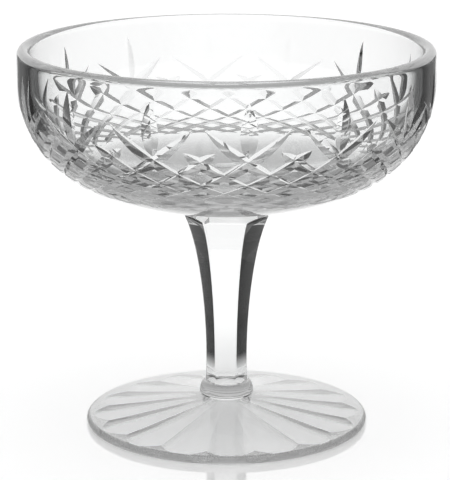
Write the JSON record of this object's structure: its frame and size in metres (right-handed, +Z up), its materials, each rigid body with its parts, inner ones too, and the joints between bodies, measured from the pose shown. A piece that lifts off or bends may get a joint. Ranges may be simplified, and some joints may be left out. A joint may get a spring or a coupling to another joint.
{
  "type": "compote bowl",
  "caption": "Footed compote bowl of clear cut glass: wide rounded bowl with a cut diamond lattice, on a flared faceted stem, a small collar and a star-cut round foot.",
  "frame": {"origin": "centre of the foot, on the plane that it rests on", "axes": "+Z up along the axis of the stem; -Y is the front as pictured"},
  "size_m": [0.152, 0.152, 0.1424],
  "materials": {
    "clear_glass": "polished clear lead glass"
  },
  "bodies": {
    "root": {"bowl": "clear_glass", "stem": "clear_glass", "collar": "clear_glass", "foot": "clear_glass"}
  },
  "joints": []
}
